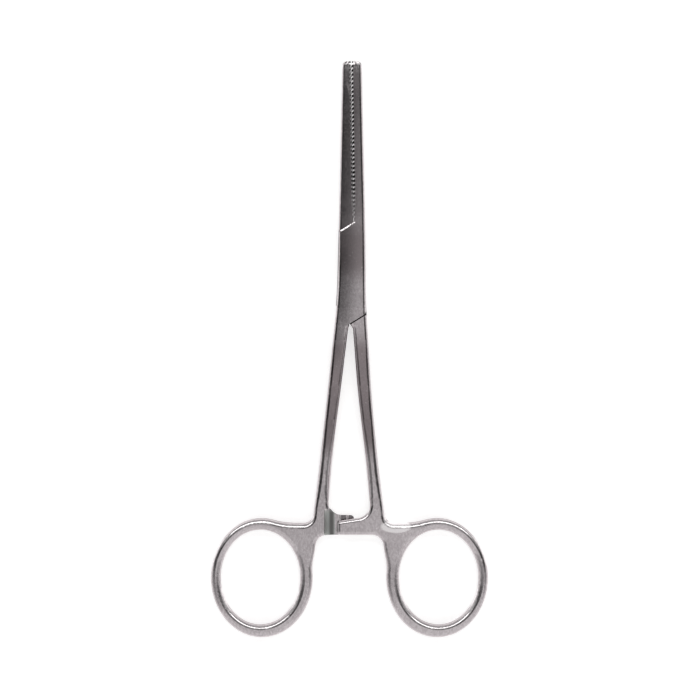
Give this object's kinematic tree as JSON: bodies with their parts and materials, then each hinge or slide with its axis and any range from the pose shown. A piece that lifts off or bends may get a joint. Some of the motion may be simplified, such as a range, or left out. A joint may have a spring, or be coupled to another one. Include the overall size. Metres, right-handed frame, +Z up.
{
  "type": "hemostat forceps",
  "caption": "Straight box-lock clamping forceps with cross-serrated jaws, slim shanks, a toothed ratchet between them and two oval finger rings.",
  "frame": {"origin": "on the pivot axis, at the underside of the box lock, where the tool lies on the table", "axes": "+Y along the tool towards the jaw tips, +X to the right seen from above, +Z up along the pivot"},
  "size_m": [0.077, 0.16, 0.0048],
  "materials": {
    "steel": "satin"
  },
  "bodies": {
    "box_side": {"box_arm": "steel", "hinge_pin": "steel"},
    "tongue_side": {"inner_arm": "steel"}
  },
  "joints": [
    {"name": "box_lock_pivot", "type": "hinge", "parent": "box_side", "child": "tongue_side", "pos_m": [0, 0, 0.0024], "axis": [0, 0, 1], "range_deg": [-0.35, 70]}
  ]
}
